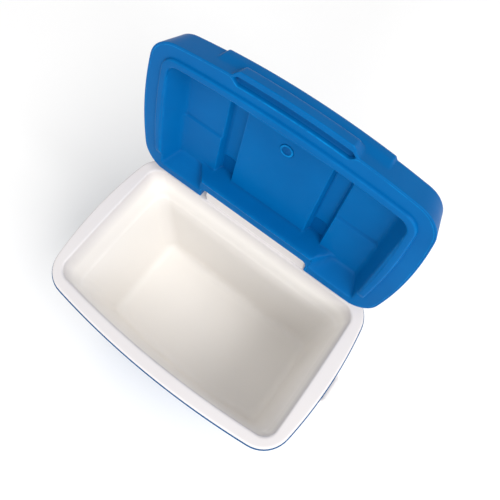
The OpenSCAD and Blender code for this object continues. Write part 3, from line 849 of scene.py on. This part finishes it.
def hollow_faces(index, i0, i1, j_cut):
    """Faces of the hollow's grid, and the loop of grid points round it; the notch is cut out of its back."""
    nx, ny = index.shape
    faces = []
    for i in range(nx - 1):
        for j in range(ny - 1):
            face = [index[i, j], index[i + 1, j], index[i + 1, j + 1], index[i, j + 1]]
            if min(face) >= 0:
                faces.append(face)
    loop = [(i, 0) for i in range(nx)]
    loop += [(nx - 1, j) for j in range(1, ny)]
    loop += [(i, ny - 1) for i in range(nx - 2, i1 - 1, -1)]
    loop += [(i1, j) for j in range(ny - 2, j_cut, -1)]
    loop += [(i, j_cut) for i in range(i1, i0 - 1, -1)]
    loop += [(i0, j) for j in range(j_cut + 1, ny)]
    loop += [(i, ny - 1) for i in range(i0 - 1, -1, -1)]
    loop += [(0, j) for j in range(ny - 2, 0, -1)]
    return faces, loop


def make_lid_panel():
    m = Mesh()
    edge = pocket_row(*PANEL_EDGE)[:, :2]
    ledge = pocket_row(*PANEL_LEDGE)[:, :2]
    xs = both_ways(lines(*PANEL_XS))
    ys = lines(*PANEL_YS)
    X, Y = np.meshgrid(xs, ys, indexing="ij")
    D = panel_depth(X, Y)
    j_cut = int(np.argmin(np.abs(ys - CUT_Y)))
    cut = np.flatnonzero(np.abs(xs) < CUT_HALF)
    keep = np.ones(D.shape, bool)
    keep[np.ix_(cut, np.arange(len(ys)) > j_cut)] = False
    index = np.full(D.shape, -1)
    index[keep] = np.arange(keep.sum())
    grid = np.c_[X[keep], Y[keep], LID_Z + D[keep]]
    faces, loop = hollow_faces(index, cut[0] - 1, cut[-1] + 1, j_cut)
    border = np.array([(xs[i], ys[j]) for i, j in loop])
    v, f = fill_between(ledge, border)
    m.add(grid, faces)
    m.add(at(v, LID_Z), f)
    # the hidden side, a little deeper, joined round the rim
    back_z = LID_Z + PANEL_WALL
    m.loft([at(ledge, LID_Z), at(edge, LID_Z), at(edge, back_z), at(ledge, back_z)], cap=(False, False))
    m.add(grid + [0, 0, PANEL_WALL], [face[::-1] for face in faces])
    m.add(at(v, back_z), [face[::-1] for face in f])
    outer, inner = u_path(*BEAD_OUT, end=BEAD_END), u_path(*BEAD_IN, end=BEAD_END)
    fade = smooth((BEAD_END + 1 - outer[:, 1]) / BEAD_FADE)
    rows = [at(inner + (outer - inner) * s, LID_Z + (h * fade if h < 0 else h)) for s, h in BEAD_PROFILE]
    m.loft(rows[::-1], cap=(False, False), closed=False)
    obj = m.make("lid_panel", "lid", LID_BLUE, replaces=["lid_inner_panel"], lid=True, sharp=50)
    weighted(obj)


make_lid_shell()
make_lid_panel()


# ---------------------------------------------------------------- handles
PIVOT_X, PIVOT_Z = 235.5, 322.0
ARM_Y, ARM_W = 46.0, 9.0
GRIP_X, GRIP_Z, GRIP_H, GRIP_T = 241.3, 276.0, 20.0, 10.0
# The grip bows out by BOW over the middle, and the bow ends BOW_HALF from it
BOW, BOW_HALF, BOW_RUN = 9.0, 32, 14
# Inner and outer radius of the two bends
BEND_IN, BEND_OUT = 6.0, 12.0
# The section of the arms turns into that of the grip over GRIP_RUN
GRIP_HALF, GRIP_RUN = 40, 10
# Radius of the long edges on the arms, and how much more it is on the grip
ARM_ROUND, GRIP_ROUND = 2.2, 2.0
# The eyes at the ends of the arms: place along the pivot, and radius
EYE = [(-4.5, 3.2), (-4.5, 5.0), (-3.6, 6.0), (3.6, 6.0), (4.5, 5.0), (4.5, 3.2)]


def handle_edge(y, z, r):
    """One edge of a handle, down an arm that stands at y, along the grip at height z and up the other arm."""
    arm_zs = np.linspace(PIVOT_Z, z + r, 8)
    arm = np.c_[np.full(len(arm_zs), y), arm_zs]
    bend = arc((y - r, z + r), r, 0, -math.pi / 2, 8)
    grip_ys = np.linspace(y - r, 0, 13)
    half = joined([arm, bend, np.c_[grip_ys, np.full(len(grip_ys), z)]])
    return joined([half, half[::-1] * [-1, 1]])


def round_section(width, height, r):
    """A rectangle round the origin with rounded corners."""
    x, y = width / 2 - r, height / 2 - r
    corners = [(x, y), (-x, y), (-x, -y), (x, -y)]
    quarter = math.pi / 2
    return np.vstack([arc(c, r, k * quarter, (k + 1) * quarter, 4) for k, c in enumerate(corners)])


def make_handle(side):
    m = Mesh()
    low, high = GRIP_Z - GRIP_H / 2, GRIP_Z + GRIP_H / 2
    inner = handle_edge(ARM_Y - ARM_W / 2, high, BEND_IN)
    outer = handle_edge(ARM_Y + ARM_W / 2, low, BEND_OUT)
    rings = []
    for a, b in zip(inner, outer):
        mid = (a + b) / 2
        width = np.linalg.norm(b - a)
        along = (b - a) / width
        grip = smooth((GRIP_HALF - abs(mid[0])) / GRIP_RUN) * (mid[1] < high + 3)
        section = round_section(ARM_W + (GRIP_T - ARM_W) * grip, width, ARM_ROUND + GRIP_ROUND * grip)
        y, z = (mid + along * section[:, 1:]).T
        slope = np.clip((PIVOT_Z - z) / (PIVOT_Z - high), 0, 1)
        bow = BOW * smooth((BOW_HALF - np.abs(y)) / BOW_RUN)
        x = PIVOT_X + (GRIP_X - PIVOT_X) * slope + bow + section[:, 0]
        rings.append(np.c_[side * x, y + HANDLE_Y, z])
    m.loft(rings)
    for y in (HANDLE_Y - ARM_Y, HANDLE_Y + ARM_Y):
        loops = []
        for dy, r in EYE:
            x, z = circle((PIVOT_X, PIVOT_Z), r, 32).T
            loops.append(np.c_[side * x, np.full(len(x), y + dy), z])
        m.loft(loops)
    word = "right" if side > 0 else "left"
    name, body, node = f"handle_{word}_bail", f"{word}_handle", f"handle_{word}"
    obj = m.make(name, body, RIM_WHITE, replaces=[node], sharp=60)
    weighted(obj)


make_handle(-1)
make_handle(1)

# ---------------------------------------------------------------- CAD pieces that keep their shape
FINISH = {
    "base_fill_plug": SHELL_BLUE,
    "foam_core": FOAM,
    "lid_foam": FOAM,
    "lid_fill_plug": LID_BLUE,
    "hinge_rail_screws": SCREW_STEEL,
    "bracket_screws_left": SCREW_STEEL,
    "bracket_screws_right": SCREW_STEEL,
    "hinge_pin_left": PIN_STEEL,
    "hinge_pin_right": PIN_STEEL,
    "handle_pins_left": PIN_STEEL,
    "handle_pins_right": PIN_STEEL,
    "handle_bracket_left": RIM_WHITE,
    "handle_bracket_right": RIM_WHITE,
}
for node, material in FINISH.items():
    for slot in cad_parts[node].material_slots:
        slot.material = material

# ---------------------------------------------------------------- floor, light and camera
floor = Nodes("floor_paper")
paper = floor.noise(9, 5, 0.6)
floor.link(floor.mix(paper, (0.93, 0.93, 0.93), (0.94, 0.94, 0.94)), floor.out.inputs["Base Color"])
floor.link(floor.spread(paper, 0.3, 0.7, 0.85, 0.95), floor.out.inputs["Roughness"])
mesh = bpy.data.meshes.new("floor")
FLOOR_HALF = 6.0
corners = [(x * FLOOR_HALF, y * FLOOR_HALF, 0) for x, y in ((-1, -1), (1, -1), (1, 1), (-1, 1))]
mesh.from_pydata(corners, [], [(0, 1, 2, 3)])
ground = bpy.data.objects.new("floor", mesh)
bpy.context.scene.collection.objects.link(ground)
ground.data.materials.append(floor.mat)

world = bpy.data.worlds.new("studio")
bpy.context.scene.world = world
world.use_nodes = True
sky = world.node_tree.nodes["Background"].inputs
sky["Color"].default_value = (1.0, 1.0, 1.0, 1)
sky["Strength"].default_value = 0.68


def area_light(name, place, target, size, power, colour=(1, 1, 1)):
    data = bpy.data.lights.new(name, "AREA")
    data.shape = "RECTANGLE"
    data.size, data.size_y = size
    data.energy = power
    data.color = colour
    obj = bpy.data.objects.new(name, data)
    obj.location = place
    obj.rotation_mode = "QUATERNION"
    obj.rotation_quaternion = (Vector(target) - Vector(place)).to_track_quat("-Z", "Y")
    bpy.context.scene.collection.objects.link(obj)


area_light("key", (2.9, -0.75, 3.8), (0, 0, 0.2), (3.0, 3.0), 158, (1.0, 0.99, 0.98))
area_light("front", (0.9, -4.2, 1.9), (0, 0.1, 0.35), (2.6, 1.6), 75)

# The camera stands where the outlines of rim and lid say it does
CAMERA_PLACE = (154.24, -152.23, 1216.99)
CAMERA_LENS, CAMERA_SHIFT = 39.189, (-0.00153, -0.0996)
AZ, EL, ROLL = (math.radians(a) for a in (30.576, 66.268, 6.865))
back = Vector((math.sin(AZ) * math.cos(EL), -math.cos(AZ) * math.cos(EL), math.sin(EL)))
right = (-back).cross(Vector((0, 0, 1))).normalized()
up = right.cross(-back)
right, up = right * math.cos(ROLL) + up * math.sin(ROLL), up * math.cos(ROLL) - right * math.sin(ROLL)
camera = bpy.data.objects.new("camera", bpy.data.cameras.new("camera"))
bpy.context.scene.collection.objects.link(camera)
stand = Matrix((right, up, back)).transposed().to_4x4()
stand.translation = Vector(CAMERA_PLACE) * MM
camera.matrix_world = stand
camera.data.sensor_width = 36.0
camera.data.lens = CAMERA_LENS
camera.data.shift_x, camera.data.shift_y = CAMERA_SHIFT
camera.data.clip_start, camera.data.clip_end = 0.05, 50
bpy.context.scene.camera = camera
bpy.context.scene.view_settings.view_transform = "Standard"
